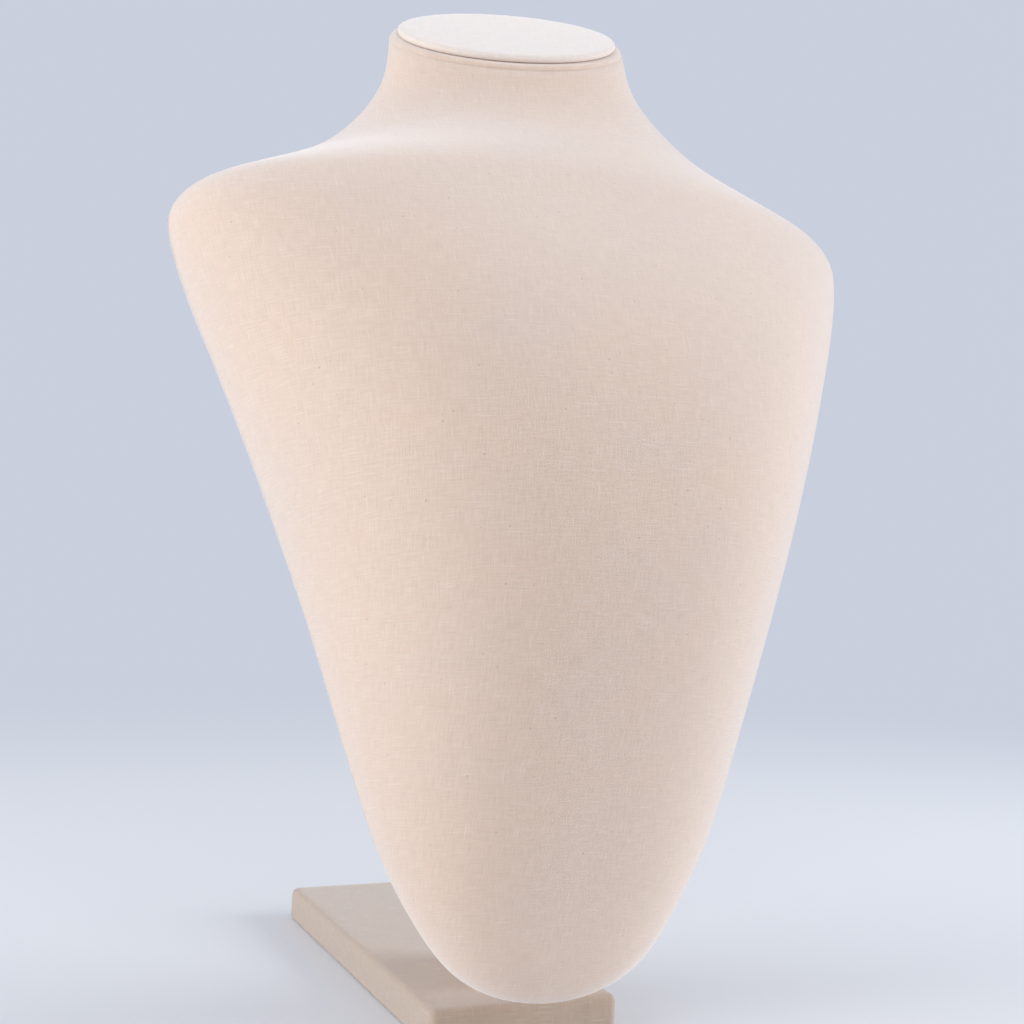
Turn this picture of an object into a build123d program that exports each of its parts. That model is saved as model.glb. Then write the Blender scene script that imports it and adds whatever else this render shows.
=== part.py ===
from build123d import *
from math import sin, cos, radians, hypot, pi
import os

os.makedirs("parts", exist_ok=True)

# A fabric-covered display bust for necklaces: a hollow two-piece moulding with a neck and two
# shoulders, closed by a flat back board and leaning back on an upright post that stands on a
# long, narrow base plate.
# Millimetres and degrees. Front is -Y, +Z is up, and the origin is the centre of the base's underside.

# ---- driving dimensions: base ----
base_width = 64.0
base_length = 160.0
base_height = 12.0
liner_thick = 1.5
hem_lift = 0.7                 # the folded cloth edge stays this far above the table
base_hem_width = 6.0
base_corner = 2.0              # rounding of the covered base's edges
weight_width = 46.0            # steel plate let into the underside, so that the bust stands firmly
weight_front = -22.0
weight_rear = 70.0
weight_thick = 4.0

# ---- driving dimensions: bust ----
lean = 11.2                    # how far the flat back leans rearward from upright
tip_y = -97.0                  # where the flat back's plane meets the lowest point of the bust
tip_z = 18.0
form_length = 320.0            # tip to neck top, measured along the back
cap_tilt = 28.0                # the neck's flat top slopes down to the front by this much
cap_side_tilt = 7.0            # and its right-hand side stands higher by this much
neck_start = 248.0             # height along the back where the sections begin to turn
neck_back_shift = 3.8
neck_rise = -2.0
nape_height = 248.0            # the flat back ends here and the neck's round back begins
torso_power = 2.6              # squareness of the sections across the chest
neck_power = 2.0               # the neck is elliptical
steepest = 3.0                 # limit on how much a sloping wall widens in its section

# ---- driving dimensions: materials and small parts ----
cloth = 0.8
shell_wall = 3.0
back_thick = 3.0
back_gap = 5.2                 # the back board stays this far inside the rim
rim_hem = 9.0                  # width of the cloth's hem, turned round the rim on to the back
plug_depth = 11.0              # measured down the neck
cap_board_thick = 1.6
cap_half_width = 38.6
cap_half_depth = 29.4
cap_hem = 7.0
post_thick = 12.0
post_foot_front = -62.0
post_foot_rear = -31.0
post_contact_low = 62.0        # heights along the back between which the post supports it
post_contact_high = 178.0
post_top_depth = 26.0
block_width = 44.0
block_length = 92.0
block_thick = 18.0
screw_radius = 2.0
screw_head_radius = 4.0
screw_head_depth = 2.0
screw_spacing_back = 60.0
screw_spacing_base = 18.0
back_screw_length = 46.0
base_screw_length = 32.0

# Sections of the bust: height along the back, half width, depth in front of the flat back.
form_stations = [
    (0.8, 8.0, 3.5),
    (3.0, 17.0, 7.5),
    (10.0, 30.0, 14.0),
    (26.0, 43.0, 23.5),
    (51.0, 55.3, 37.5),
    (70.0, 61.3, 47.5),
    (90.0, 67.2, 57.0),
    (112.0, 73.6, 66.5),
    (134.0, 80.7, 73.0),
    (157.0, 88.6, 76.3),
    (179.0, 96.7, 75.6),
    (196.0, 103.4, 71.8),
    (211.0, 109.5, 66.2),
    (224.0, 114.0, 60.0),
    (234.0, 116.6, 54.6),
    (241.5, 117.0, 50.4),
    (248.0, 113.6, 46.8),
    (256.0, 101.0, 43.0),
    (266.0, 81.5, 39.2),
    (275.5, 66.8, 36.6),
    (288.0, 54.0, 34.2),
    (304.0, 43.5, 32.2),
    (320.0, 40.6, 31.2),
]

# Depth of the neck's round back behind its centre, for each section from the nape up.
nape_depths = {248.0: 4.2, 256.0: 6.5, 266.0: 11.0, 275.5: 17.5, 288.0: 25.5, 304.0: 30.0, 320.0: 31.2}

back_plane = Plane(
    origin=(0, tip_y, tip_z),
    x_dir=(1, 0, 0),
    z_dir=(0, -cos(radians(lean)), sin(radians(lean))),
)


def smooth_step(value):
    """Ease from 0 to 1 with flat ends."""
    held = min(max(value, 0.0), 1.0)
    return held * held * (3 - 2 * held)


def turn_share(height):
    """How much of the neck's turn has happened at this height along the back."""
    return smooth_step((height - neck_start) / (form_length - neck_start))


def section_plane(height):
    """The plane of one section: square to the back on the chest, turning to the cap's slope."""
    share = turn_share(height)
    tilt = radians(lean * (1 - share) - cap_tilt * share)
    side = radians(cap_side_tilt * share)
    centre_y = tip_y + sin(radians(lean)) * height + neck_back_shift * share
    centre_z = tip_z + cos(radians(lean)) * height + neck_rise * share
    return Plane(
        origin=(0, centre_y, centre_z),
        x_dir=(cos(side), sin(side) * sin(tilt), sin(side) * cos(tilt)),
        z_dir=(-sin(side), cos(side) * sin(tilt), cos(side) * cos(tilt)),
    )


def wall_slopes(index):
    """How much a wall of even thickness widens in this section, at the sides and at the front."""
    below = form_stations[max(index - 1, 0)]
    above = form_stations[min(index + 1, len(form_stations) - 1)]
    run = above[0] - below[0]
    side = hypot(run, above[1] - below[1]) / run
    front = hypot(run, above[2] - below[2]) / run
    return min(side, steepest), min(front, steepest)


def half_outline(half_width, depth, power, facing, points=13):
    """Points along the front (facing -1) or the back (facing +1) half of a section."""
    outline = []
    for step in range(points):
        angle = pi * step / (points - 1)
        across = half_width * abs(cos(angle)) ** (2 / power)
        if 2 * step == points - 1:
            across = 0
        outline.append((across if angle < pi / 2 else -across, facing * depth * sin(angle)))
    outline[0] = (half_width, 0)
    outline[-1] = (-half_width, 0)
    return outline


def half_form(outer_inset, inner_inset, facing):
    """A thin-walled half of the bust, between two insets from its outer surface."""
    with BuildPart() as form:
        for index, (height, half_width, front_depth) in enumerate(form_stations):
            if facing > 0 and height < nape_height:
                continue
            depth = front_depth if facing < 0 else nape_depths[height]
            share = turn_share(height)
            power = torso_power * (1 - share) + neck_power * share
            side, front = wall_slopes(index)
            front = front if facing < 0 else 1
            edges = []
            for inset in (outer_inset, inner_inset):
                width = max(half_width - inset * side, 0.5)
                reach = max(depth - inset * front, 0.35)
                edges.append(half_outline(width, reach, power, facing))
            outer, inner = edges
            with BuildSketch(section_plane(height)):
                with BuildLine():
                    Spline(*outer)
                    Line(outer[-1], inner[-1])
                    Spline(*inner[::-1])
                    Line(inner[0], outer[0])
                make_face()
        loft(ruled=True)
    return form.part


def rim_points(inset):
    """Right-hand points of the flat back's outline, moved inward along its normal."""
    flat = [station for station in form_stations if station[0] <= nape_height]
    points = []
    for index, (height, half_width, _) in enumerate(flat):
        below = flat[index - 1] if index else (-0.4, 0, 0)
        above = flat[min(index + 1, len(flat) - 1)]
        run = above[0] - below[0]
        across = above[1] - below[1]
        length = hypot(run, across)
        points.append((half_width - inset * run / length, height + inset * across / length))
    return points


def back_sheet(inset, offset, thickness):
    """A flat sheet in the flat back's outline, lying behind or in front of the back plane."""
    top = nape_height - inset
    right = [point for point in rim_points(inset) if point[1] < top - 2]
    right.append((right[-1][0] - 0.35, top))
    left = [(-across, height) for across, height in reversed(right)]
    with BuildPart() as sheet:
        with BuildSketch(back_plane.offset(offset)):
            with BuildLine():
                Spline(*left, (0, inset + 0.2), *right)
                Line(right[-1], left[0])
            make_face()
        extrude(amount=thickness)
    return sheet.part


def neck_top_plane(lift=0.0):
    """The neck's sloping flat top, raised by a distance along its normal."""
    return section_plane(form_length).offset(lift)


def back_height_y(height, behind=0.0):
    """World Y of a point on the back plane at a height along it, moved behind the plane."""
    return tip_y + sin(radians(lean)) * height + cos(radians(lean)) * behind


def back_height_z(height, behind=0.0):
    """World Z of a point on the back plane at a height along it, moved behind the plane."""
    return tip_z + cos(radians(lean)) * height - sin(radians(lean)) * behind


# ---- the bust's two mouldings ----
with BuildPart() as front_shell:
    add(half_form(cloth, cloth + shell_wall, -1))
front_shell.part.label = "front_shell"

with BuildPart() as nape_shell:
    add(half_form(cloth, cloth + shell_wall, 1))
nape_shell.part.label = "nape_shell"

# ---- the cloth stretched over them ----
with BuildPart() as front_cover:
    add(half_form(0, cloth, -1))
front_cover.part.label = "front_cover"

with BuildPart() as nape_cover:
    add(half_form(0, cloth, 1))
nape_cover.part.label = "nape_cover"

# The cloth's hem, turned round the rim and glued flat on the back.
with BuildPart() as rim_hem_cloth:
    add(back_sheet(0, -cloth, cloth))
    add(back_sheet(rim_hem, -cloth, cloth), mode=Mode.SUBTRACT)
rim_hem_cloth.part.label = "rim_hem"

# ---- flat back: board, cloth panel and the block that the post is screwed to ----
back_centre = (post_contact_low + post_contact_high) / 2
back_screw_heights = (back_centre - screw_spacing_back / 2, back_centre + screw_spacing_back / 2)
back_screw_points = [(0, height) for height in back_screw_heights]
block_front = back_thick + block_thick

with BuildPart() as mounting_block:
    with BuildSketch(back_plane.offset(back_thick)):
        with Locations((0, back_centre)):
            RectangleRounded(block_width, block_length, 3)
    extrude(amount=block_thick)
    with Locations(back_plane.offset(block_front)):
        with Locations(*back_screw_points):
            CounterSinkHole(radius=screw_radius, counter_sink_radius=screw_head_radius,
                            depth=block_thick, counter_sink_angle=90)
mounting_block.part.label = "mounting_block"

with BuildPart() as back_board:
    add(back_sheet(back_gap, 0, back_thick))
    with Locations(back_plane.offset(back_thick)):
        with Locations(*back_screw_points):
            Hole(radius=screw_radius, depth=back_thick)
back_board.part.label = "back_board"

with BuildPart() as back_cover:
    add(back_sheet(rim_hem, -cloth, cloth))
    with Locations(back_plane):
        with Locations(*back_screw_points):
            Hole(radius=screw_radius, depth=cloth)
back_cover.part.label = "back_cover"

# ---- neck top: plug, oval cap board and its cloth ----
plug_half_width = form_stations[-1][1] - cloth - shell_wall - 0.6
plug_half_depth = form_stations[-1][2] - cloth - shell_wall - 1.2
with BuildPart() as neck_plug:
    for height in (form_length - plug_depth, form_length):
        with BuildSketch(section_plane(height)):
            Ellipse(plug_half_width, plug_half_depth)
    loft()
neck_plug.part.label = "neck_plug"

with BuildPart() as cap_board:
    with BuildSketch(neck_top_plane(cloth)):
        Ellipse(cap_half_width - cloth, cap_half_depth - cloth)
    extrude(amount=cap_board_thick)
cap_board.part.label = "cap_board"

with BuildPart() as cap_cover:
    with BuildSketch(neck_top_plane()):
        Ellipse(cap_half_width, cap_half_depth)
    extrude(amount=cap_board_thick + 2 * cloth)
    with BuildSketch(neck_top_plane(cloth)):
        Ellipse(cap_half_width - cloth, cap_half_depth - cloth)
    extrude(amount=cap_board_thick, mode=Mode.SUBTRACT)
    with BuildSketch(neck_top_plane()):
        Ellipse(cap_half_width - cap_hem, cap_half_depth - cap_hem)
    extrude(amount=cloth, mode=Mode.SUBTRACT)
cap_cover.part.label = "cap_cover"

# ---- upright post, a plate on edge whose front follows the leaning back ----
post_back = 2 * cloth
post_outline = [
    (post_foot_front, base_height),
    (back_height_y(post_contact_low, post_back), back_height_z(post_contact_low, post_back)),
    (back_height_y(post_contact_high, post_back), back_height_z(post_contact_high, post_back)),
    (
        back_height_y(post_contact_high, post_back + post_top_depth),
        back_height_z(post_contact_high, post_back + post_top_depth),
    ),
    (post_foot_rear, base_height),
]
base_screw_y = (post_foot_front + post_foot_rear) / 2
base_screw_ys = (base_screw_y - screw_spacing_base / 2, base_screw_y + screw_spacing_base / 2)
base_screw_points = [(0, y) for y in base_screw_ys]
screw_lead = back_screw_length - block_front - cloth

with BuildPart() as post_core:
    with BuildSketch(Plane.YZ.offset(-post_thick / 2)):
        with BuildLine():
            Polyline(*post_outline, close=True)
        make_face()
    extrude(amount=post_thick)

with BuildPart() as support_post:
    add(post_core.part)
    with Locations(back_plane.offset(-post_back)):
        with Locations(*back_screw_points):
            Hole(radius=screw_radius, depth=screw_lead)
    with Locations(Plane.XY.offset(base_height).rotated((180, 0, 0))):
        with Locations(*[(0, -y) for y in base_screw_ys]):
            Hole(radius=screw_radius, depth=base_screw_length - base_height + liner_thick)
support_post.part.label = "support_post"

with BuildPart() as post_cover:
    with BuildSketch(Plane.YZ.offset(-post_thick / 2 - cloth)):
        with BuildLine():
            Polyline(*post_outline, close=True)
        make_face()
        offset(amount=cloth, kind=Kind.INTERSECTION)
    extrude(amount=post_thick + 2 * cloth)
    add(post_core.part, mode=Mode.SUBTRACT)
    with Locations((0, 0, base_height)):
        Box(
            base_width,
            base_length,
            base_height,
            align=(Align.CENTER, Align.CENTER, Align.MAX),
            mode=Mode.SUBTRACT,
        )
    with Locations(back_plane.offset(-cloth)):
        with Locations(*back_screw_points):
            Hole(radius=screw_radius, depth=cloth * 2)
post_cover.part.label = "post_cover"


def screw_profile_part(plane, length):
    """A countersunk wood screw with its head's face on the plane, pointing along the plane's normal."""
    with BuildPart() as screw:
        with BuildSketch(plane):
            Circle(screw_head_radius)
        with BuildSketch(plane.offset(screw_head_depth)):
            Circle(screw_radius)
        loft()
        with BuildSketch(plane.offset(screw_head_depth)):
            Circle(screw_radius)
        extrude(amount=length - screw_head_depth - 4)
        with BuildSketch(plane.offset(length - 4)):
            Circle(screw_radius)
        with BuildSketch(plane.offset(length)):
            Circle(0.4)
        loft()
        with BuildSketch(plane):
            Rectangle(4.4, 1.0)
            Rectangle(1.0, 4.4)
        extrude(amount=1.3, mode=Mode.SUBTRACT)
    return screw.part


into_post = Plane(
    origin=back_plane.offset(block_front).origin,
    x_dir=(1, 0, 0),
    z_dir=-back_plane.z_dir,
)
with BuildPart() as back_screws:
    for height in back_screw_heights:
        head = into_post.origin + back_plane.y_dir * height
        plane = Plane(origin=head, x_dir=(1, 0, 0), z_dir=into_post.z_dir)
        add(screw_profile_part(plane, back_screw_length))
back_screws.part.label = "back_screws"

# ---- base: board, weight, cloth, liner and the screws that hold the post ----
board_width = base_width - 2 * cloth
board_length = base_length - 2 * cloth
board_top = base_height - cloth
with BuildPart() as base_block:
    with BuildSketch(Plane.XY.offset(liner_thick)):
        RectangleRounded(board_width, board_length, base_corner - cloth)
    extrude(amount=board_top - liner_thick)
    fillet(base_block.faces().sort_by(Axis.Z)[-1].edges(), base_corner - cloth - 0.1)

with BuildPart() as base_weight:
    with BuildSketch(Plane.XY.offset(liner_thick)):
        with Locations((0, (weight_front + weight_rear) / 2)):
            RectangleRounded(weight_width, weight_rear - weight_front, 3)
    extrude(amount=weight_thick)
base_weight.part.label = "base_weight"

with BuildPart() as base_board:
    add(base_block.part)
    add(base_weight.part, mode=Mode.SUBTRACT)
    with Locations(Plane.XY.offset(liner_thick).rotated((180, 0, 0))):
        with Locations(*[(0, -y) for y in base_screw_ys]):
            CounterSinkHole(
                radius=screw_radius,
                counter_sink_radius=screw_head_radius,
                depth=board_top - liner_thick,
                counter_sink_angle=90,
            )
base_board.part.label = "base_board"

liner_width = board_width - 2 * base_hem_width
liner_length = board_length - 2 * base_hem_width
with BuildPart() as base_cover:
    with BuildSketch(Plane.XY.offset(hem_lift)):
        RectangleRounded(base_width, base_length, base_corner)
    extrude(amount=base_height - hem_lift)
    fillet(base_cover.faces().sort_by(Axis.Z)[-1].edges(), base_corner - 0.1)
    add(base_block.part, mode=Mode.SUBTRACT)
    with BuildSketch(Plane.XY.offset(hem_lift)):
        RectangleRounded(liner_width, liner_length, 1)
    extrude(amount=liner_thick - hem_lift, mode=Mode.SUBTRACT)
    with Locations(Plane.XY.offset(base_height)):
        with Locations(*base_screw_points):
            Hole(radius=screw_radius, depth=2 * cloth)
base_cover.part.label = "base_cover"

with BuildPart() as base_liner:
    with BuildSketch(Plane.XY):
        RectangleRounded(liner_width, liner_length, 1)
    extrude(amount=liner_thick)
base_liner.part.label = "base_liner"

with BuildPart() as base_screws:
    for y in base_screw_ys:
        add(screw_profile_part(Plane(origin=(0, y, liner_thick), z_dir=(0, 0, 1)), base_screw_length))
base_screws.part.label = "base_screws"

export_step(front_shell.part, "parts/front_shell.step")
export_step(nape_shell.part, "parts/nape_shell.step")
export_step(front_cover.part, "parts/front_cover.step")
export_step(nape_cover.part, "parts/nape_cover.step")
export_step(rim_hem_cloth.part, "parts/rim_hem.step")
export_step(mounting_block.part, "parts/mounting_block.step")
export_step(back_board.part, "parts/back_board.step")
export_step(back_cover.part, "parts/back_cover.step")
export_step(neck_plug.part, "parts/neck_plug.step")
export_step(cap_board.part, "parts/cap_board.step")
export_step(cap_cover.part, "parts/cap_cover.step")
export_step(support_post.part, "parts/support_post.step")
export_step(post_cover.part, "parts/post_cover.step")
export_step(back_screws.part, "parts/back_screws.step")
export_step(base_board.part, "parts/base_board.step")
export_step(base_cover.part, "parts/base_cover.step")
export_step(base_weight.part, "parts/base_weight.step")
export_step(base_liner.part, "parts/base_liner.step")
export_step(base_screws.part, "parts/base_screws.step")
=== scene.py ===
from math import cos, pi, radians, sin

import bmesh
import bpy
import numpy as np
from mathutils import Matrix, Vector, noise
from mathutils.bvhtree import BVHTree


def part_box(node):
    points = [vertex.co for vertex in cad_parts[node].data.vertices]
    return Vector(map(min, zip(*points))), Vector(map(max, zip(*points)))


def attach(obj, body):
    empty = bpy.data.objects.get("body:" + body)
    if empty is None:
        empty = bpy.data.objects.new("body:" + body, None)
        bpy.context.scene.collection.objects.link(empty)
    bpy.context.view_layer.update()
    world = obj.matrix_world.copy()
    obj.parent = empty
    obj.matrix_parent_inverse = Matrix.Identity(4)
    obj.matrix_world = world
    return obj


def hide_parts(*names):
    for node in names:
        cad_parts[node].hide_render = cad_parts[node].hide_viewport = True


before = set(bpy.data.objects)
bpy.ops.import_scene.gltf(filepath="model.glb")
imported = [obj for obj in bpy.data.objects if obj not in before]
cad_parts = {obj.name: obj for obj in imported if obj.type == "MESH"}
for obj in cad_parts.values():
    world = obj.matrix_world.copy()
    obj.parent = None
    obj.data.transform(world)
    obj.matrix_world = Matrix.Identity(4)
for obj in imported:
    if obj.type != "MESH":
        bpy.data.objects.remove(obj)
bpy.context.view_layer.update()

# A fabric-covered display bust for necklaces: neck and shoulders leaning back on a post over a
# long, narrow base plate. Metres; front is -Y, +Z is up.
MM = 0.001
noise.seed_set(7)

# ---- driving dimensions, the same as the CAD's ----
lean = radians(11.2)                # how far the flat back leans rearward
tip = np.array((0.0, -97.0, 18.0)) * MM
form_length = 320 * MM              # tip to neck top, measured along the back
cap_tilt = radians(28.0)            # forward slope of the neck's top
cap_side_tilt = radians(7.0)        # its right-hand side stands higher by this much
neck_start = 248 * MM
neck_back_shift = 3.8 * MM
neck_rise = -2.0 * MM
nape_height = 248 * MM              # the flat back ends here and the round nape begins
torso_power, neck_power = 2.6, 2.0  # squareness of the sections
cloth = 0.8 * MM
hem_width = 9 * MM
cap_radii = np.array((38.6, 29.4)) * MM
cap_height = 3.2 * MM
base_corner = 2 * MM
post_contact = (62 * MM, 178 * MM)
post_feet = (-62.0 * MM, -31.0 * MM)
post_top_depth = 26 * MM
post_half_thick = 6.8 * MM

# Heights along the back at which the bust's shape is measured from the CAD.
station_heights = np.array((0.8, 3, 10, 26, 51, 70, 90, 112, 134, 157, 179, 196, 211, 224, 234, 241.5,
                            248, 256, 266, 275.5, 288, 304, 320)) * MM
skin_thickness = 0.6 * MM
row_count = 191                     # rows of the bust's cloth, from the tip to the neck's top
tip_rows = 60                       # the first of them, where the height barely changes
section_count = 101                 # points across a half section
middle_point = section_count // 2
right_axis = np.array((1.0, 0.0, 0.0))
back_up = np.array((0.0, sin(lean), cos(lean)))
back_front = np.array((0.0, -cos(lean), sin(lean)))
backdrop_colour = (0.585, 0.625, 0.72, 1)


# ================================================================ camera
def make_camera():
    """The camera stands low at the front left and is rolled a little."""
    azimuth, pitch, roll = radians(-23.41), radians(0.65), radians(2.39)
    back = Vector((sin(azimuth) * cos(pitch), -cos(azimuth) * cos(pitch), sin(pitch)))
    right = Vector((cos(azimuth), sin(azimuth), 0))
    up = back.cross(right)
    rolled_right = right * cos(roll) + up * sin(roll)
    rolled_up = up * cos(roll) - right * sin(roll)
    turn = Matrix((rolled_right, rolled_up, back)).transposed().to_4x4()
    data = bpy.data.cameras.new("camera")
    data.sensor_width = 36
    data.lens = 56.21
    data.clip_start = 0.01
    camera = bpy.data.objects.new("camera", data)
    camera.matrix_world = Matrix.Translation((-0.21225, -0.54265, 0.17458)) @ turn
    bpy.context.scene.collection.objects.link(camera)
    bpy.context.scene.camera = camera


# ================================================================ small tools
def smooth_step(value):
    """Ease from 0 to 1 with flat ends."""
    held = np.clip(value, 0.0, 1.0)
    return held * held * (3 - 2 * held)


def turn_share(height):
    """How much of the neck's turn has happened at this height along the back."""
    return smooth_step((height - neck_start) / (form_length - neck_start))


def section_frame(height):
    """Centre, right and front directions and upward normal of the section at a height."""
    share = turn_share(height)
    tilt = lean * (1 - share) - cap_tilt * share
    side = cap_side_tilt * share
    centre = tip + back_up * height + np.array((0, neck_back_shift, neck_rise)) * share
    across = np.array((cos(side), sin(side) * sin(tilt), sin(side) * cos(tilt)))
    normal = np.array((-sin(side), cos(side) * sin(tilt), cos(side) * cos(tilt)))
    return centre, across, np.array((0, -cos(tilt), sin(tilt))), normal


def on_back(across, height, forward=0.0):
    """A point of the flat back, moved forward out of its plane."""
    return tip + right_axis * across + back_up * height + back_front * forward


def along(points):
    """Distance along a line of points, from its first point to each."""
    steps = np.linalg.norm(np.diff(points, axis=0), axis=1)
    return np.concatenate([[0.0], np.cumsum(steps)])


def respaced(points, count):
    """The same line with evenly spaced points."""
    distance = along(points)
    even = np.linspace(0, distance[-1], count)
    return np.stack([np.interp(even, distance, column) for column in points.T], axis=1)


def spline_through(knots, values, at):
    """Natural cubic spline through values at knots, read at other places."""
    count = len(knots)
    gap = np.diff(knots)
    matrix = np.eye(count)
    target = np.zeros((count, values.shape[1]))
    for i in range(1, count - 1):
        matrix[i, i - 1:i + 2] = gap[i - 1], 2 * (gap[i - 1] + gap[i]), gap[i]
        rise = (values[i + 1] - values[i]) / gap[i] - (values[i] - values[i - 1]) / gap[i - 1]
        target[i] = 6 * rise
    bend = np.linalg.solve(matrix, target)
    i = np.clip(np.searchsorted(knots, at) - 1, 0, count - 2)
    before, after, width = (at - knots[i])[:, None], (knots[i + 1] - at)[:, None], gap[i][:, None]
    cubic = (bend[i] * after ** 3 + bend[i + 1] * before ** 3) / (6 * width)
    left = (values[i] / width - bend[i] * width / 6) * after
    right = (values[i + 1] / width - bend[i + 1] * width / 6) * before
    return cubic + left + right


def cad_tree(*names):
    """A tree of the CAD nodes' faces, for measuring."""
    points, faces = [], []
    for name in names:
        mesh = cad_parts[name].data
        start = len(points)
        points += [vertex.co.copy() for vertex in mesh.vertices]
        faces += [[start + i for i in polygon.vertices] for polygon in mesh.polygons]
    return BVHTree.FromPolygons(points, faces)


def reach(tree, centre, direction):
    """Distance from the centre to the outermost surface in a direction."""
    outside = 0.3
    start = centre + direction * outside
    hit = tree.ray_cast(Vector(start), Vector(-direction))[0]
    return outside - float(np.linalg.norm(np.array(hit) - start))


# ================================================================ mesh building
class Skin:
    """A mesh made of grids of points, each with a place on the cloth's flat pattern, in metres."""

    def __init__(self):
        self.mesh = bmesh.new()
        self.pattern = self.mesh.loops.layers.uv.new("pattern")

    def grid(self, points, places, closed=False, keep=None):
        """Adds a grid of faces; closed joins each row's end to its start."""
        rows, columns = points.shape[:2]
        made = [[self.mesh.verts.new(point) for point in row] for row in points]
        for i in range(rows - 1):
            for j in range(columns if closed else columns - 1):
                if keep is not None and not keep(i, j):
                    continue
                k = (j + 1) % columns
                corners = ((i, j), (i, k), (i + 1, k), (i + 1, j))
                face = self.mesh.faces.new([made[a][b] for a, b in corners])
                for loop, (a, b) in zip(face.loops, corners):
                    loop[self.pattern].uv = places[a, b]

    def fill(self, ring, places):
        """Adds one flat face inside a ring of points."""
        face = self.mesh.faces.new([self.mesh.verts.new(point) for point in ring])
        for loop, place in zip(face.loops, places):
            loop[self.pattern].uv = place

    def finish(self, name, thickness=0.0, joined=1e-6):
        """Joins coincident points and makes the object."""
        bmesh.ops.remove_doubles(self.mesh, verts=self.mesh.verts, dist=joined)
        bmesh.ops.dissolve_degenerate(self.mesh, edges=self.mesh.edges, dist=1e-7)
        data = bpy.data.meshes.new(name)
        self.mesh.to_mesh(data)
        self.mesh.free()
        data.polygons.foreach_set("use_smooth", [True] * len(data.polygons))
        made = bpy.data.objects.new(name, data)
        bpy.context.scene.collection.objects.link(made)
        if thickness:
            solid = made.modifiers.new("thickness", "SOLIDIFY")
            solid.thickness = thickness
            solid.offset = -1
            solid.use_even_offset = False
        return made


def relaxed(points, size, depth, seed):
    """Moves points by soft low waves, as glued cloth has."""
    moved = points.copy()
    for index in np.ndindex(points.shape[:-1]):
        place = Vector(points[index]) / size
        shift = noise.noise_vector(place + Vector((seed, 0, 0)))
        moved[index] += np.array(shift) * depth
    return moved


def settle(piece, material, slot, *nodes):
    """Gives a piece its material and its place in the frame."""
    piece.data.materials.append(material)
    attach(piece, "root")
    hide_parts(*nodes)


# ================================================================ materials
class Nodes:
    """A material's node tree, with short calls to add and link nodes."""

    def __init__(self, name):
        self.material = bpy.data.materials.new(name)
        self.material.use_nodes = True
        self.tree = self.material.node_tree
        self.tree.nodes.clear()
        self.shader = self.add("ShaderNodeBsdfPrincipled")
        self.output = self.add("ShaderNodeOutputMaterial")
        self.link(self.shader.outputs[0], self.output.inputs[0])

    def add(self, kind, **settings):
        made = self.tree.nodes.new(kind)
        for key, value in settings.items():
            setattr(made, key, value)
        return made

    def link(self, source, target):
        self.tree.links.new(source, target)

    def feed(self, target, value):
        """Links a socket, or sets a plain value."""
        if isinstance(value, bpy.types.NodeSocket):
            self.link(value, target)
        else:
            target.default_value = value

    def maths(self, operation, *values):
        made = self.add("ShaderNodeMath", operation=operation)
        for socket, value in zip(made.inputs, values):
            self.feed(socket, value)
        return made.outputs[0]

    def scaled(self, vector, scale):
        made = self.add("ShaderNodeVectorMath", operation="MULTIPLY")
        self.feed(made.inputs[0], vector)
        made.inputs[1].default_value = scale
        return made.outputs[0]

    def noise(self, vector, scale=1.0, detail=2.0, rough=0.5):
        made = self.add("ShaderNodeTexNoise")
        self.link(vector, made.inputs["Vector"])
        made.inputs["Scale"].default_value = scale
        made.inputs["Detail"].default_value = detail
        made.inputs["Roughness"].default_value = rough
        return made.outputs[0]

    def spread(self, value, low, high, to_low=0.0, to_high=1.0):
        """Maps a range of a value on to another, held at its ends."""
        made = self.add("ShaderNodeMapRange")
        self.feed(made.inputs["Value"], value)
        for key, number in (("From Min", low), ("From Max", high), ("To Min", to_low), ("To Max", to_high)):
            made.inputs[key].default_value = number
        return made.outputs[0]

    def blend(self, share, first, second, mode="MIX"):
        """Mixes two colours."""
        made = self.add("ShaderNodeMix", data_type="RGBA", blend_type=mode)
        self.feed(made.inputs[0], share)
        for socket, value in ((made.inputs[6], first), (made.inputs[7], second)):
            self.feed(socket, (*value, 1.0) if isinstance(value, tuple) else value)
        return made.outputs[2]

    def bump(self, height, strength, distance):
        made = self.add("ShaderNodeBump")
        made.inputs["Strength"].default_value = strength
        made.inputs["Distance"].default_value = distance
        self.link(height, made.inputs["Height"])
        self.link(made.outputs[0], self.shader.inputs["Normal"])

    def gloss(self, roughness, **sockets):
        self.feed(self.shader.inputs["Roughness"], roughness)
        for key, value in sockets.items():
            self.shader.inputs[key.replace("_", " ")].default_value = value


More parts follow.
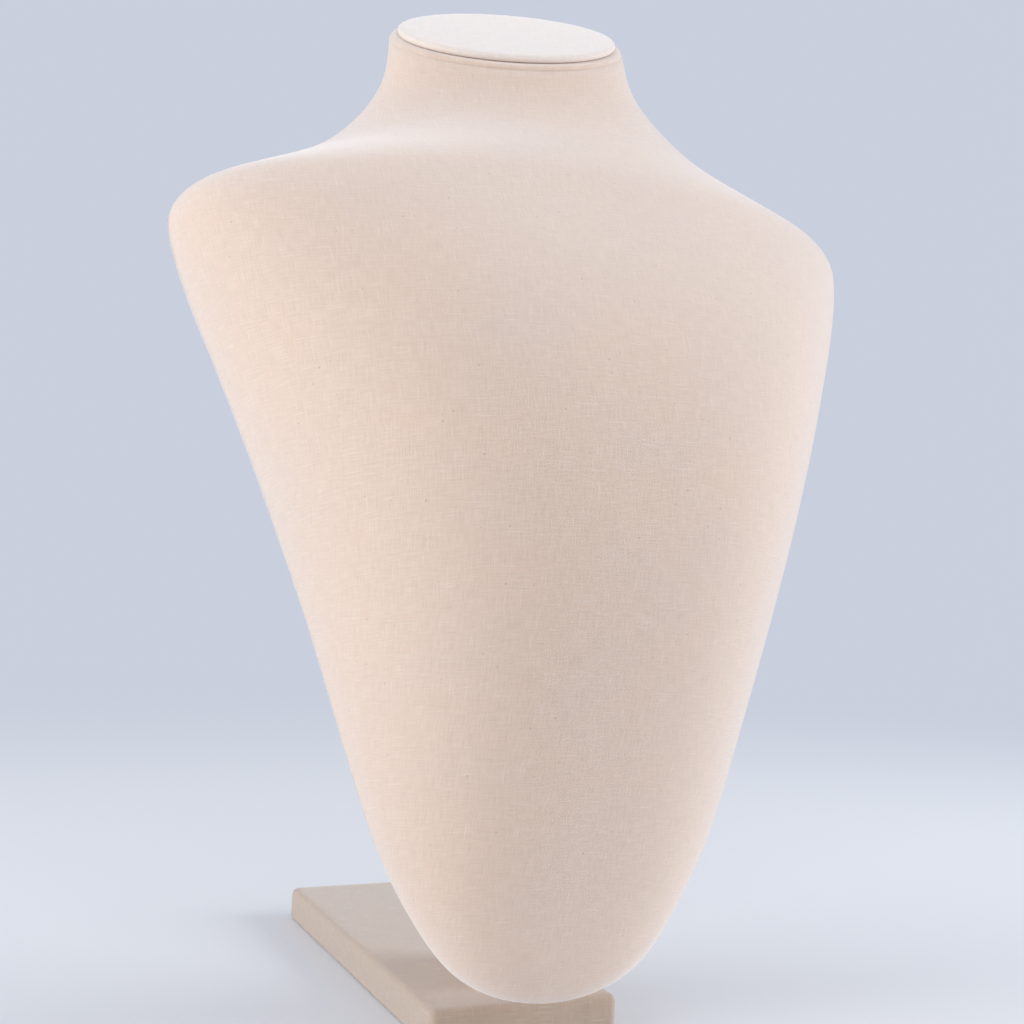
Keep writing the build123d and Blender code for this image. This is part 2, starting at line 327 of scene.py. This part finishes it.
def linen(name, colour, sheen):
    """Fine natural linen: an uneven plain weave with slubs both ways and a few dark flecks."""
    n = Nodes(name)
    thread = 0.34 * MM
    pattern = n.add("ShaderNodeUVMap", uv_map="pattern").outputs[0]
    drift = n.add("ShaderNodeTexNoise")
    n.link(pattern, drift.inputs["Vector"])
    drift.inputs["Scale"].default_value = 260
    wander = n.scaled(drift.outputs[1], (1.1 * thread,) * 3)
    uneven = n.add("ShaderNodeVectorMath", operation="ADD")
    n.link(pattern, uneven.inputs[0])
    n.link(wander, uneven.inputs[1])
    split = n.add("ShaderNodeSeparateXYZ")
    n.link(uneven.outputs[0], split.inputs[0])
    turns = pi / thread
    warp = n.maths("SINE", n.maths("MULTIPLY", split.outputs[0], turns))
    weft = n.maths("SINE", n.maths("MULTIPLY", split.outputs[1], turns))
    weave = n.maths("MULTIPLY_ADD", n.maths("MULTIPLY", warp, weft), 0.5, 0.5)
    # Threads that run up and across the cloth, thick in places.
    upright = n.noise(n.scaled(pattern, (2600, 170, 1)), detail=3)
    level = n.noise(n.scaled(pattern, (160, 2600, 1)), detail=3)
    threads = n.maths("ADD", upright, level)
    thick_up = n.spread(n.noise(n.scaled(pattern, (1900, 110, 1)), detail=1), 0.64, 0.74)
    thick_level = n.spread(n.noise(n.scaled(pattern, (100, 1900, 1)), detail=1), 0.63, 0.73)
    slubs = n.maths("MAXIMUM", thick_up, thick_level)
    thin_up = n.spread(n.noise(n.scaled(pattern, (2100, 130, 3)), detail=1), 0.34, 0.26)
    thin_level = n.spread(n.noise(n.scaled(pattern, (120, 2100, 3)), detail=1), 0.34, 0.26)
    thins = n.maths("MAXIMUM", thin_up, thin_level)
    flecks = n.add("ShaderNodeTexVoronoi")
    n.link(pattern, flecks.inputs["Vector"])
    flecks.inputs["Scale"].default_value = 260
    rare = n.add("ShaderNodeSeparateColor")
    n.link(flecks.outputs["Color"], rare.inputs[0])
    spot = n.spread(flecks.outputs["Distance"], 0.10, 0.04)
    fleck = n.maths("MULTIPLY", spot, n.spread(rare.outputs[0], 0.70, 0.72))
    tone = n.noise(pattern, scale=26, detail=3)

    dark = tuple(value * share for value, share in zip(colour, (0.92, 0.91, 0.90)))
    light = tuple(min(1.0, value * share) for value, share in zip(colour, (1.05, 1.055, 1.06)))
    shade = n.blend(n.spread(threads, 0.72, 1.28), dark, light)
    shade = n.blend(n.maths("MULTIPLY", slubs, 0.13), shade, (0.95, 0.92, 0.88))
    shade = n.blend(n.maths("MULTIPLY", thins, 0.14), shade, tuple(value * 0.62 for value in colour))
    shade = n.blend(n.maths("MULTIPLY", fleck, 0.55), shade, (0.30, 0.23, 0.18))
    warmth = n.blend(n.spread(tone, 0.35, 0.65), (1.0, 0.985, 0.97), (0.975, 0.98, 0.99))
    shade = n.blend(1.0, shade, warmth, "MULTIPLY")
    n.link(shade, n.shader.inputs["Base Color"])
    height = n.maths("MULTIPLY_ADD", weave, 0.5, n.maths("MULTIPLY", threads, 0.9))
    height = n.maths("MULTIPLY_ADD", slubs, 0.3, height)
    n.bump(height, 0.45, 0.10 * MM)
    n.gloss(n.spread(threads, 0.7, 1.3, 0.96, 0.80), Sheen_Weight=sheen, Sheen_Roughness=0.6,
            Sheen_Tint=(1.0, 1.0, 1.0, 1.0), Specular_IOR_Level=0.25)
    return n.material


def grained(name, dark, light, stretch, rough, scale=1.0, bump=0.1, **sockets):
    """A hidden part's material: two colours in streaks or grains, with uneven gloss."""
    n = Nodes(name)
    place = n.add("ShaderNodeTexCoord").outputs["Object"]
    grain = n.noise(n.scaled(place, stretch), scale=scale, detail=5, rough=0.62)
    n.link(n.blend(n.spread(grain, 0.3, 0.7), dark, light), n.shader.inputs["Base Color"])
    n.bump(grain, bump, 0.2 * MM)
    n.gloss(n.spread(grain, 0.3, 0.7, *rough), **sockets)
    return n.material


# ================================================================ the bust
def measured_rows():
    """Half width, front depth and height of the bust's sections, from the tip to the neck's top.

    A smooth line through the CAD's sections and their mirror image runs on through the tip, so the
    tip is round."""
    front = cad_tree("front_cover")
    inside = 0.02 * MM
    middle = form_length / 2
    measured = []
    for height in station_heights:
        inward = inside if height < middle else -inside
        centre, across, forward, _ = section_frame(height + inward)
        width = reach(front, centre + forward * 0.4 * MM, across)
        measured.append((width, reach(front, centre, forward), height))
    (w1, _, h1), (w2, _, h2) = measured[:2]
    pole = h1 - w1 ** 2 * (h2 - h1) / (w2 ** 2 - w1 ** 2)
    right = np.array(measured)
    whole = np.concatenate([right[::-1] * (-1, -1, 1), [(0, 0, pole)], right])
    knots = along(whole)
    knots -= knots[len(right)]
    return spline_through(knots, whole, np.linspace(0, knots[-1], row_count))


def nape_depth(heights):
    """How far the neck's round back stands behind its sections' centres."""
    tree = cad_tree("nape_cover")
    stations = station_heights[station_heights >= nape_height]
    measured = []
    for height in stations:
        inside = 0.02 * MM if height < form_length else -0.02 * MM
        centre, _, forward, _ = section_frame(height + inside)
        measured.append((reach(tree, centre, -forward),))
    return spline_through(stations, np.array(measured), heights)[:, 0]


def section_points(width, depth, height, inset=0.0, lift=0.0, facing=1):
    """Half of a section, from the right-hand side round to the left, evenly spaced."""
    fine_steps = 721
    angle = np.linspace(0, pi, fine_steps)
    power = torso_power + (neck_power - torso_power) * turn_share(height)
    across = np.sign(np.cos(angle)) * np.abs(np.cos(angle)) ** (2 / power) * max(width - inset, 0)
    out = np.sin(angle) * max(depth - inset, 0)
    flat = respaced(np.stack([across, out], axis=1), section_count)
    centre, right, forward, normal = section_frame(height)
    return centre + normal * lift + flat[:, :1] * right + flat[:, 1:] * forward * facing


def pattern_places(points, up):
    """Places on the flat pattern: across from the middle of each row, and up along the form."""
    places = np.zeros(points.shape[:2] + (2,))
    for i, row in enumerate(points):
        distance = along(row)
        places[i, :, 0] = distance - distance[-1] / 2
        places[i, :, 1] = up[i]
    return places


def make_bust(rows, material):
    """One cloth over the chest, shoulders and neck, rolled in at the neck's top."""
    roll = 1.2 * MM
    body = rows[rows[:, 2] < form_length - roll * 0.9]
    top_width, top_depth, _ = rows[-1]
    grid = [section_points(width, depth, height) for width, depth, height in body]
    rolled = [(roll * (1 - cos(a)), roll * (sin(a) - 1)) for a in np.linspace(0, pi / 2, 6)]
    rolled += [(roll + step * MM, 0.0) for step in (1.0, 2.5, 5.0)]
    for inset, lift in rolled:
        grid.append(section_points(top_width, top_depth, form_length, inset, lift))
    front = np.array(grid)
    front[:len(body)] = relaxed(front[:len(body)], 34 * MM, 0.14 * MM, 3.0)
    up = along(front[:, middle_point])
    skin = Skin()
    skin.grid(front, pattern_places(front, up))

    first = int(np.argmax(body[:, 2] >= nape_height))
    upper = body[first:]
    depths = nape_depth(upper[:, 2])
    top_back = nape_depth(np.array([form_length]))[0]
    back = []
    ledge_shares = (0.02, 0.4, 0.75, 0.93)
    ledge = len(ledge_shares)
    for share in ledge_shares:
        back.append(section_points(upper[0, 0], depths[0] * share, upper[0, 2], facing=-1))
    for (width, _, height), depth in zip(upper, depths):
        back.append(section_points(width, depth, height, facing=-1))
    for inset, lift in rolled:
        back.append(section_points(top_width, top_back, form_length, inset, lift, facing=-1))
    back = np.array(back)
    for i in range(len(upper) + len(rolled)):
        back[ledge + i, 0] = front[first + i, 0]
        back[ledge + i, -1] = front[first + i, -1]
    for i in range(ledge):
        back[i, 0], back[i, -1] = back[ledge, 0], back[ledge, -1]
    back_up_places = np.concatenate([up[first] - np.array([4.2, 2.5, 1.1, 0.3]) * MM, up[first:]])
    half = np.array([along(row)[-1] / 2 for row in front[first:]])
    half = np.concatenate([[half[0]] * ledge, half])
    right_side = pattern_places(back, back_up_places)
    left_side = right_side.copy()
    for i in range(len(back)):
        distance = along(back[i])
        right_side[i, :, 0] = -half[i] - distance
        left_side[i, :, 0] = half[i] + distance[-1] - distance
    flip = slice(None, None, -1)
    skin.grid(back[:, :middle_point + 1][:, flip], right_side[:, :middle_point + 1][:, flip])
    skin.grid(back[:, middle_point:][:, flip], left_side[:, middle_point:][:, flip])
    piece = skin.finish("bust_cloth", skin_thickness)
    settle(piece, material, "linen", "front_cover", "nape_cover")


# ================================================================ the flat back
def back_outlines(rows):
    """Outer and inner edges of the hem on the flat back, as matched loops of (across, height)."""
    side = rows[rows[:, 2] <= nape_height][:, (0, 2)]
    nape_half_width = np.interp(nape_height, rows[tip_rows:, 2], rows[tip_rows:, 0])
    side = np.vstack([side, (nape_half_width, nape_height)])
    slope = np.gradient(side, axis=0)
    slope /= np.linalg.norm(slope, axis=1)[:, None]
    inner = side + np.stack([-slope[:, 1], slope[:, 0]], axis=1) * hem_width
    inner = inner[(inner[:, 1] < nape_height - hem_width) & (inner[:, 0] > -1e-9)]
    inner[0, 0] = 0
    inner = np.vstack([inner, (inner[-1, 0], nape_height - hem_width)])
    side_count, top_count = 150, 46
    loops = []
    for line in (side, inner):
        right = respaced(line, side_count)
        top_across = np.linspace(right[-1, 0], 0, top_count)
        top = np.stack([top_across, np.full(top_count, right[-1, 1])], axis=1)
        half = np.vstack([right, top[1:]])
        loop = np.vstack([half, half[-2:0:-1] * (-1, 1)])
        for _ in range(3):
            loop = (np.roll(loop, 1, axis=0) + 2 * loop + np.roll(loop, -1, axis=0)) / 4
        loops.append(loop)
    return loops


def make_rim(outer, inner, material):
    """The cloth's folded edge: a thin roll round the rim and a flat hem on the back."""
    inward = inner - outer
    inward /= np.linalg.norm(inward, axis=1)[:, None]
    bead = 0.72 * MM
    rings = [inner, outer + (inner - outer) * 0.5]
    fronts = [-0.1 * MM, 0.0]
    for angle in np.linspace(radians(75), radians(270), 12):
        rings.append(outer + inward * (0.34 * MM + bead * cos(angle)))
        fronts.append(-0.06 * MM + bead * sin(angle))
    for share, front in ((0.35, -0.79), (0.7, -0.79), (0.94, -0.79), (0.98, -0.7), (1.0, -0.5)):
        rings.append(outer + (inner - outer) * share)
        fronts.append(front * MM)
    points = np.array([
        [on_back(across, height, front) for across, height in ring] for ring, front in zip(rings, fronts)
    ])
    closed_line = np.vstack([outer, outer[:1]])
    distance = along(closed_line)[:-1]
    profile_line = along(points[:, 0])
    places = np.zeros(points.shape[:2] + (2,))
    places[..., 0] = distance[None, :]
    places[..., 1] = profile_line[:, None]
    skin = Skin()
    skin.grid(np.concatenate([points, points[:1]]), np.concatenate([places, places[:1]]), closed=True)
    piece = skin.finish("rim_hem_fold")
    settle(piece, material, "linen", "rim_hem")


def make_back_panel(inner, material):
    """A cloth-covered card let into the hem."""
    centre = np.array((0.0, 130 * MM))
    gap = 0.3 * MM
    inward = centre - inner
    inward /= np.linalg.norm(inward, axis=1)[:, None]
    rings, fronts = [], []
    edge = ((0.5, -0.1), (0.1, -0.14), (0.0, -0.3), (0.02, -0.5), (0.15, -0.68), (0.5, -0.78), (1.2, -0.82))
    for inset, front in edge:
        rings.append(inner + inward * (gap + inset * MM))
        fronts.append(front * MM)
    for share in (0.97, 0.9, 0.75, 0.5, 0.25, 0.0):
        rings.append(centre + (rings[len(edge) - 1] - centre) * share)
        fronts.append(-0.84 * MM)
    points = np.array([
        [on_back(across, height, front) for across, height in ring] for ring, front in zip(rings, fronts)
    ])
    skin = Skin()
    skin.grid(points, np.array(rings), closed=True)
    piece = skin.finish("back_panel_cloth")
    settle(piece, material, "linen", "back_cover")


# ================================================================ cap
def make_cap(material):
    """The neck's oval lid: cloth over a thin board, a little domed, turned under at the edge."""
    centre, right, forward, normal = section_frame(form_length)
    edge = 1.25 * MM
    lowest = 0.75 * MM
    crown = 0.5 * MM
    sides = 128
    angle = np.linspace(0, 2 * pi, sides, endpoint=False)
    round_line = np.stack([np.cos(angle), np.sin(angle)], axis=1)
    profile = []
    for share in (0.0, 0.12, 0.3, 0.5, 0.68, 0.82, 0.92):
        profile.append(((1 - share) * (cap_radii[1] - edge), cap_height + crown * (1 - share ** 2)))
    for turn in np.linspace(radians(75), 0, 6):
        profile.append((edge * (1 - cos(turn)), cap_height - edge + edge * sin(turn)))
    for turn in np.linspace(0, radians(90), 5)[1:]:
        profile.append((edge * (1 - cos(turn)), lowest + edge - edge * sin(turn)))
    for inset in (2.5, 4.5, 7.0):
        profile.append((inset * MM, lowest))
    points, places, travelled = [], [], 0.0
    previous = None
    for inset, height in profile:
        radii = cap_radii - inset
        if inset > cap_radii[1] - edge - 1e-9:
            radii = np.array((cap_radii[0] - cap_radii[1] + edge, 0.0))
        flat = round_line * radii
        ring = centre + flat[:, :1] * right - flat[:, 1:] * forward + normal * height
        if previous is not None:
            travelled += np.hypot(inset - previous[0], height - previous[1])
        previous = (inset, height)
        points.append(ring)
        places.append(round_line * (cap_radii - (cap_radii[1] - edge) + travelled))
    skin = Skin()
    skin.grid(np.array(points)[:, ::-1], np.array(places)[:, ::-1], closed=True)
    piece = skin.finish("cap_cloth", 0.5 * MM)
    settle(piece, material, "linen_cap", "cap_cover")


# ================================================================ base
def rounded_rectangle(half_width, half_length, corner, per_side, per_corner):
    """Points and outward normals of a rounded rectangle, closer together near its corners."""
    points, normals = [], []
    sides = ((1, 0), (0, 1), (-1, 0), (0, -1))
    halves = (half_width, half_length)
    for index, (nx, ny) in enumerate(sides):
        normal = np.array((nx, ny), float)
        tangent = np.array((-ny, nx), float)
        reach_out = halves[index % 2]
        length = halves[(index + 1) % 2] - corner
        for k in range(per_side):
            place = -cos(pi * k / (per_side - 1)) * length
            points.append(normal * reach_out + tangent * place)
            normals.append(normal)
        middle = normal * (reach_out - corner) + tangent * length
        for k in range(1, per_corner):
            turn = pi / 2 * k / per_corner
            direction = normal * cos(turn) + tangent * sin(turn)
            points.append(middle + direction * corner)
            normals.append(direction)
    return np.array(points), np.array(normals)


def make_base(material):
    """The base plate's cloth: taut on top, rounded over the edges and folded at the corners."""
    low, high = (np.array(corner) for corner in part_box("base_cover"))
    half = (high - low)[:2] / 2
    per_side, per_corner = 48, 6
    outline, normals = rounded_rectangle(half[0], half[1], base_corner, per_side, per_corner)
    hem = 6 * MM
    profile = [(half[0] * share, high[2]) for share in (1.0, 0.97, 0.9, 0.75, 0.55, 0.35, 0.2, 0.12)]
    edge = base_corner
    for turn in np.linspace(radians(80), 0, 8):
        profile.append((edge * (1 - cos(turn)), high[2] - edge + edge * sin(turn)))
    profile += [(0.0, high[2] - 3.5 * MM), (0.0, high[2] - 6 * MM), (0.0, low[2] + 2 * MM)]
    for turn in np.linspace(0, radians(90), 5):
        profile.append((0.7 * MM * (1 - cos(turn)), low[2] + 0.7 * MM * (1 - sin(turn))))
    profile += [(0.5 * hem, low[2]), (hem, low[2])]
    fold_reach = 11 * MM
    on_short_side = np.abs(normals[:, 1]) > 0.5
    from_corner = half[0] - np.abs(outline[:, 0])
    folded = on_short_side * smooth_step((fold_reach - from_corner) / (0.9 * MM))
    points, places, travelled = [], [], 0.0
    previous = None
    for inset, height in profile:
        core = np.maximum(half - inset, (0.0, half[1] - half[0]))
        rounding = min(max(base_corner - inset, 0.0), core[0])
        shape = rounded_rectangle(core[0], core[1], rounding, per_side, per_corner)[0]
        down = np.clip((high[2] - height) / (3 * MM), 0, 1)
        shape = shape + normals * (folded * down * 0.28 * MM)[:, None]
        if previous is not None:
            travelled += np.hypot(inset - previous[0], height - previous[1])
        previous = (inset, height)
        points.append(np.column_stack([shape, np.full(len(shape), height)]))
        places.append(shape if height > high[2] - 1e-6 else outline + normals * (travelled - half[0]))
    points = np.array(points)
    soft = relaxed(points, 22 * MM, 0.16 * MM, 9.0)
    moving = points[..., 2:] > low[2] + 1 * MM
    points = np.where(moving, soft, points)
    skin = Skin()
    skin.grid(points, np.array(places), closed=True)
    piece = skin.finish("base_cloth", 0.5 * MM)
    settle(piece, material, "linen_base", "base_cover")


# ================================================================ post
def rounded_polygon(corners, radii, steps=7):
    """A closed line round a convex polygon, with each corner turned on an arc."""
    line = []
    count = len(corners)
    for i, corner in enumerate(corners):
        before = corners[i - 1] - corner
        after = corners[(i + 1) % count] - corner
        before, after = before / np.linalg.norm(before), after / np.linalg.norm(after)
        start, end = corner + before * radii[i], corner + after * radii[i]
        for share in np.linspace(0, 1, steps):
            line.append((1 - share) ** 2 * start + 2 * share * (1 - share) * corner + share ** 2 * end)
    return np.array(line)


def inset_polygon(corners, amounts):
    """A convex polygon with its sides moved inward; side i runs from corner i to the next."""
    count = len(corners)
    moved = []
    for i in range(count):
        sides = []
        for k in (i - 1, i):
            ahead = corners[(k + 1) % count] - corners[k]
            ahead = ahead / np.linalg.norm(ahead)
            sides.append((corners[k] + np.array((-ahead[1], ahead[0])) * amounts[k], ahead))
        (start, ahead), (other, across) = sides
        gap = other - start
        travel = (gap[0] * across[1] - gap[1] * across[0]) / (ahead[0] * across[1] - ahead[1] * across[0])
        moved.append(start + ahead * travel)
    return np.array(moved)


def make_post(material):
    """The post's cloth: two flat sides, soft edges and an overlap seam down its rear edge."""
    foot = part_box("base_cover")[1][2]
    front = -2 * cloth
    core = np.array([
        (post_feet[0], foot),
        (post_feet[1], foot),
        on_back(0, post_contact[1], front - post_top_depth)[1:],
        on_back(0, post_contact[1], front)[1:],
        on_back(0, post_contact[0], front)[1:],
    ])
    corners = inset_polygon(core, np.array((0, -1, -1, -1, -1)) * cloth)
    radii = np.array((0.4, 0.4, 1.6, 1.2, 6.0)) * MM
    coarse = rounded_polygon(corners, radii)
    lengths = np.linalg.norm(np.roll(coarse, -1, axis=0) - coarse, axis=1)
    pieces = np.maximum(1, (lengths / (4 * MM)).astype(int))

    def outline(inset):
        """The post's outline from the side, moved inward everywhere but at its foot."""
        shrunk = inset_polygon(corners, np.array((0, inset, inset, inset, inset)))
        starts = rounded_polygon(shrunk, np.maximum(radii - inset, 0.3 * MM))
        ends = np.roll(starts, -1, axis=0)
        parts = [a + (b - a) * np.arange(k)[:, None] / k for a, b, k in zip(starts, ends, pieces)]
        return np.concatenate(parts)

    line = outline(0.0)
    ahead = np.roll(line, -1, axis=0) - np.roll(line, 1, axis=0)
    ahead /= np.linalg.norm(ahead, axis=1)[:, None]
    outward = np.stack([ahead[:, 1], -ahead[:, 0]], axis=1)
    edge = 1.6 * MM
    middle = line.mean(axis=0)
    side_shares = (0.96,)
    side_rings = len(side_shares)
    profile = [(-post_half_thick, None, share) for share in side_shares]
    for turn in np.linspace(radians(90), 0, 6):
        profile.append((-(post_half_thick - edge) - edge * sin(turn), edge * (1 - cos(turn)), 1))
    for across in (-3.0, -0.6, -0.4, 0.4, 0.6, 3.0):
        profile.append((across * MM, 0.0, 1))
    for turn in np.linspace(0, radians(90), 6):
        profile.append((post_half_thick - edge + edge * sin(turn), edge * (1 - cos(turn)), 1))
    profile += [(post_half_thick, None, share) for share in side_shares[::-1]]
    on_rear = outward[:, 0] > 0.8
    points, places, travelled = [], [], 0.0
    for across, inset, share in profile:
        ring = outline(edge if inset is None else inset)
        ring = middle + (ring - middle) * share
        if abs(across) < 0.5 * MM:
            ring = ring - outward * (on_rear * 0.22 * MM)[:, None]
        points.append(np.column_stack([np.full(len(ring), across), ring]))
        places.append(ring + np.array((across, 0.0)))
    points = np.array(points)
    points[:, :, 1:] = np.where(
        points[:, :, 2:] > foot + 2 * MM,
        relaxed(points, 20 * MM, 0.12 * MM, 5.0)[:, :, 1:],
        points[:, :, 1:],
    )

    def shown(i, j):
        """Leaves out the foot's underside, which stands on the base."""
        flat_side = i < side_rings or i >= len(profile) - 1 - side_rings
        at_foot = max(line[j][1], line[(j + 1) % len(line)][1]) < foot + 0.1 * MM
        return flat_side or not at_foot

    skin = Skin()
    skin.grid(points, np.array(places), closed=True, keep=shown)
    skin.fill(points[0][::-1], places[0][::-1])
    skin.fill(points[-1], places[-1])
    piece = skin.finish("post_cloth", 0.5 * MM)
    settle(piece, material, "linen", "post_cover")


# ================================================================ studio
def make_floor():
    """A pale floor that fades into the background colour away from the object."""
    n = Nodes("floor_paper")
    place = n.add("ShaderNodeTexCoord").outputs["Object"]
    far = n.add("ShaderNodeVectorMath", operation="LENGTH")
    n.link(place, far.inputs[0])
    distance = far.outputs["Value"]
    grain = n.noise(place, scale=900, detail=2)
    n.link(n.blend(grain, (0.74, 0.745, 0.755), (0.77, 0.775, 0.785)), n.shader.inputs["Base Color"])
    n.bump(grain, 0.05, 0.1 * MM)
    n.gloss(n.spread(grain, 0.3, 0.7, 0.85, 0.95), Specular_IOR_Level=0.2)
    glow = n.add("ShaderNodeEmission")
    glow.inputs["Color"].default_value = backdrop_colour
    fade = n.add("ShaderNodeMixShader")
    ease = n.add("ShaderNodeMapRange", interpolation_type="SMOOTHSTEP")
    n.link(distance, ease.inputs["Value"])
    ease.inputs["From Min"].default_value, ease.inputs["From Max"].default_value = 0.35, 0.95
    n.link(ease.outputs[0], fade.inputs[0])
    n.link(n.shader.outputs[0], fade.inputs[1])
    n.link(glow.outputs[0], fade.inputs[2])
    n.link(fade.outputs[0], n.output.inputs[0])
    data = bpy.data.meshes.new("floor")
    made = bmesh.new()
    bmesh.ops.create_circle(made, cap_ends=True, segments=64, radius=30)
    made.to_mesh(data)
    made.free()
    floor = bpy.data.objects.new("floor", data)
    floor.data.materials.append(n.material)
    bpy.context.scene.collection.objects.link(floor)


def make_light(name, place, aim, size, power, colour):
    """A soft rectangular light."""
    data = bpy.data.lights.new(name, "AREA")
    data.shape = "RECTANGLE"
    data.size, data.size_y = size
    data.energy = power
    data.color = colour
    light = bpy.data.objects.new(name, data)
    light.location = place
    light.rotation_euler = (Vector(aim) - Vector(place)).to_track_quat("-Z", "Y").to_euler()
    bpy.context.scene.collection.objects.link(light)


def make_world():
    """An even, cool background that also lights the scene."""
    world = bpy.data.worlds.new("studio")
    world.use_nodes = True
    background = world.node_tree.nodes["Background"]
    background.inputs[0].default_value = backdrop_colour
    background.inputs[1].default_value = 1.0
    bpy.context.scene.world = world


# ================================================================ assembly
make_camera()
bpy.context.scene.view_settings.view_transform = "Standard"

bust_linen = linen("bust_linen", (0.70, 0.53, 0.41), sheen=0.8)
# The rim's linen is paler and greyer than the bust's: painted highlight for the light that catches the cloth's
# rolled edge.
rim_linen_painted_highlight = linen("rim_linen_painted_highlight", (0.86, 0.75, 0.66), sheen=1.0)
# The cap's linen is lighter than the bust's: painted highlight standing in for the light that falls on the
# neck's top.
cap_linen_painted_highlight = linen("cap_linen_painted_highlight", (0.80, 0.685, 0.59), sheen=0.6)
# The base's linen is the bust's colour darkened to about 0.7: painted shade for the shade under the bust's
# overhang.
base_linen_painted_shade = linen("base_linen_painted_shade", (0.49, 0.375, 0.285), sheen=0.4)

rows = measured_rows()
outer_loop, inner_loop = back_outlines(rows)
make_bust(rows, bust_linen)
make_rim(outer_loop, inner_loop, rim_linen_painted_highlight)
make_back_panel(inner_loop, bust_linen)
make_cap(cap_linen_painted_highlight)
make_base(base_linen_painted_shade)
make_post(bust_linen)

plastic = grained("moulded_plastic", (0.62, 0.60, 0.55), (0.74, 0.72, 0.67), (1, 1, 1), (0.45, 0.6), 240)
fibre = grained("fibreboard", (0.36, 0.24, 0.14), (0.52, 0.37, 0.23), (1, 1, 1), (0.75, 0.9), 900, 0.25)
pine = grained("sawn_pine", (0.52, 0.34, 0.17), (0.72, 0.53, 0.32), (260, 260, 18), (0.6, 0.8), 1, 0.3)
zinc = grained("zinc_plate", (0.50, 0.50, 0.52), (0.68, 0.68, 0.70), (1, 1, 1), (0.25, 0.42), 700, Metallic=1.0)
# Near-black colour for the base's liner; it shows as a thin dark line along the bottom edge of the base's
# cloth.
liner_near_black = grained("near_black_liner", (0.018, 0.016, 0.015), (0.05, 0.045, 0.04), (1, 1, 1), (0.85, 1.0), 1600, 0.5)
hidden = {
    plastic: ("front_shell", "nape_shell"),
    fibre: ("back_board", "neck_plug", "cap_board", "support_post", "base_board"),
    pine: ("mounting_block",),
    zinc: ("back_screws", "base_screws", "base_weight"),
    liner_near_black: ("base_liner",),
}
for material, names in hidden.items():
    for name in names:
        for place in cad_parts[name].material_slots:
            place.material = material

make_floor()
make_world()
make_light("left_softbox", (-1.20, -0.20, 0.45), (0, -0.05, 0.18), (0.8, 0.8), 10.5, (0.97, 0.99, 1.0))
make_light("right_softbox", (1.20, -0.50, 0.50), (0, -0.05, 0.18), (0.8, 0.8), 11.5, (0.97, 0.99, 1.0))
make_light("top_softbox", (0.0, -0.70, 1.5), (0, -0.05, 0.15), (1.0, 1.0), 1.4, (1.0, 0.985, 0.96))
